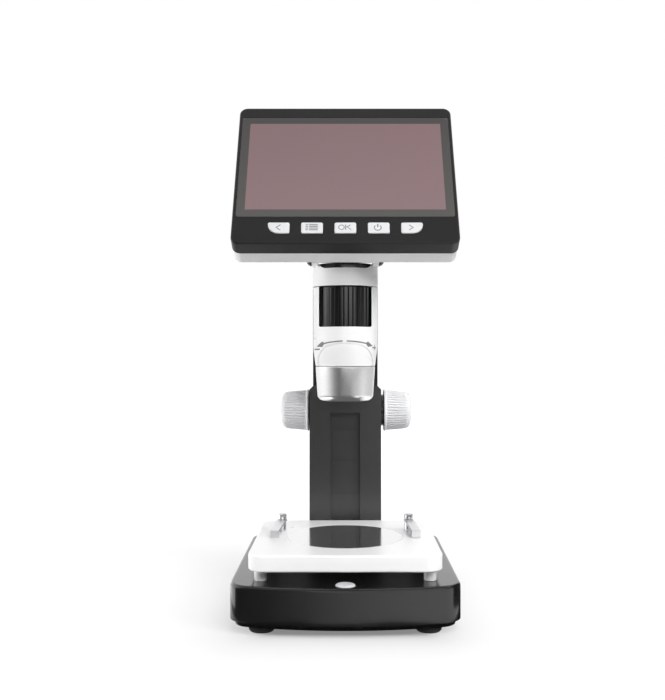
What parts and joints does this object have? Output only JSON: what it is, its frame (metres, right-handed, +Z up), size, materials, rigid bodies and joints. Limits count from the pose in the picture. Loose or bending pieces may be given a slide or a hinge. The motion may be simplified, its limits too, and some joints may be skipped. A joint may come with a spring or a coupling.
{
  "type": "digital microscope",
  "caption": "Desktop digital microscope: tilting LCD on a round optical head, rack-driven post, stage with spring clips, bowed base.",
  "frame": {"origin": "on the table, under the middle of the base's depth and width", "axes": "+X to the user's right, +Y away from the user, +Z up"},
  "size_m": [0.1066, 0.127, 0.2506],
  "materials": {
    "gloss_black": "gloss black ABS",
    "satin_black": "satin black ABS",
    "black_polymer": "moulded black acetal",
    "gloss_white": "gloss white ABS",
    "matt_white": "satin white ABS",
    "light_grey": "satin light grey ABS",
    "rubber": "matt black rubber",
    "satin_silver": "fine satin aluminium",
    "bright_chrome": "bright chrome plate",
    "mirror_disc": "mirror polished plate",
    "steel": "plated steel",
    "brass": "milled brass",
    "cover_glass": "dark cover glass with a printed border",
    "lcd": "unlit LCD behind its polariser",
    "lens_glass": "coated optical glass",
    "circuit_board": "green solder mask",
    "battery_foil": "blue sleeve on a pouch cell",
    "led_resin": "phosphor resin"
  },
  "bodies": {
    "base": {"base_shell": "gloss_black", "base_plate": "satin_black", "base_plate_screws": "steel", "base_feet": "rubber", "base_board": "circuit_board", "base_switch": "black_polymer", "stage_plate": "gloss_white", "stage_disc": "mirror_disc", "stage_legs": "gloss_white", "stage_screws": "steel", "clip_posts": "bright_chrome", "column_front": "satin_black", "column_back": "satin_black", "column_back_screws": "steel", "column_foot_screws": "steel", "shaft_bushes": "black_polymer"},
    "deck_button": {"base_button": "light_grey"},
    "left_clip": {"clip_left": "bright_chrome"},
    "right_clip": {"clip_right": "bright_chrome"},
    "focus_knobs": {"pinion_shaft": "steel", "knob_left": "light_grey", "knob_right": "light_grey"},
    "head": {"post": "black_polymer", "rack": "brass", "rack_screws": "steel", "arm": "satin_black", "arm_screws": "steel", "head_screws": "steel", "head_shell": "gloss_white", "head_collar": "gloss_white", "guide_rods": "steel", "lens_tube": "black_polymer", "front_window": "lens_glass", "led_board": "circuit_board", "leds": "led_resin", "sensor_board": "circuit_board", "image_sensor": "black_polymer"},
    "focus_ring": {"focus_wheel": "black_polymer"},
    "lens_cell": {"lens_carrier": "black_polymer", "lens": "lens_glass"},
    "dimmer": {"dimmer_ring": "matt_white", "silver_cone": "satin_silver"},
    "screen": {"screen_bezel": "satin_black", "screen_back": "matt_white", "cover_glass": "cover_glass", "lcd_panel": "lcd", "main_board": "circuit_board", "battery": "battery_foil", "key_board": "circuit_board", "screen_screws": "steel", "usb_port": "steel", "hinge_barrel": "black_polymer", "hinge_pin": "steel", "hinge_caps": "black_polymer"},
    "back_key": {"key_back": "matt_white"},
    "menu_key": {"key_menu": "matt_white"},
    "ok_key": {"key_ok": "matt_white"},
    "power_key": {"key_power": "matt_white"},
    "next_key": {"key_next": "matt_white"}
  },
  "joints": [
    {"name": "head_lift", "type": "slide", "parent": "base", "child": "head", "axis": [0, 0, 1], "range_m": [-0.045, 0.003]},
    {"name": "knob_turn", "type": "hinge", "parent": "base", "child": "focus_knobs", "pos_m": [0, 0.0484, 0.0945], "axis": [1, 0, 0], "range_deg": [-44, 646]},
    {"name": "focus_turn", "type": "hinge", "parent": "head", "child": "focus_ring", "pos_m": [0, -0.0096, 0.148], "axis": [0, 0, 1], "range_deg": [-150, 150]},
    {"name": "lens_travel", "type": "slide", "parent": "head", "child": "lens_cell", "axis": [0, 0, 1], "range_m": [-0.0021, 0.0021]},
    {"name": "dimmer_turn", "type": "hinge", "parent": "head", "child": "dimmer", "pos_m": [0, -0.0096, 0.12], "axis": [0, 0, 1], "range_deg": [-130, 130]},
    {"name": "screen_tilt", "type": "hinge", "parent": "head", "child": "screen", "pos_m": [0, -0.021, 0.1735], "axis": [1, 0, 0], "range_deg": [-50, 25]},
    {"name": "deck_button_press", "type": "slide", "parent": "base", "child": "deck_button", "axis": [0, 0, -1], "range_m": [0, 0.0008], "stiffness_N_per_m": 800, "springref_m": -0.0006},
    {"name": "left_clip_swivel", "type": "hinge", "parent": "base", "child": "left_clip", "pos_m": [-0.0326, 0.004, 0.0405], "axis": [0, 0, 1], "range_deg": [-60, 70]},
    {"name": "right_clip_swivel", "type": "hinge", "parent": "base", "child": "right_clip", "pos_m": [0.0326, 0.004, 0.0405], "axis": [0, 0, 1], "range_deg": [-70, 60]},
    {"name": "back_key_press", "type": "slide", "parent": "screen", "child": "back_key", "axis": [0, 0.8695, -0.4939], "range_m": [0, 0.0006], "stiffness_N_per_m": 800, "springref_m": -0.0006},
    {"name": "menu_key_press", "type": "slide", "parent": "screen", "child": "menu_key", "axis": [0, 0.8695, -0.4939], "range_m": [0, 0.0006], "stiffness_N_per_m": 800, "springref_m": -0.0006},
    {"name": "ok_key_press", "type": "slide", "parent": "screen", "child": "ok_key", "axis": [0, 0.8695, -0.4939], "range_m": [0, 0.0006], "stiffness_N_per_m": 800, "springref_m": -0.0006},
    {"name": "power_key_press", "type": "slide", "parent": "screen", "child": "power_key", "axis": [0, 0.8695, -0.4939], "range_m": [0, 0.0006], "stiffness_N_per_m": 800, "springref_m": -0.0006},
    {"name": "next_key_press", "type": "slide", "parent": "screen", "child": "next_key", "axis": [0, 0.8695, -0.4939], "range_m": [0, 0.0006], "stiffness_N_per_m": 800, "springref_m": -0.0006}
  ],
  "couplings": [
    {"joint": "knob_turn", "follows": "head_lift", "rad_per_m": -250},
    {"joint": "lens_travel", "follows": "focus_turn", "m_per_rad": 0.000764}
  ]
}
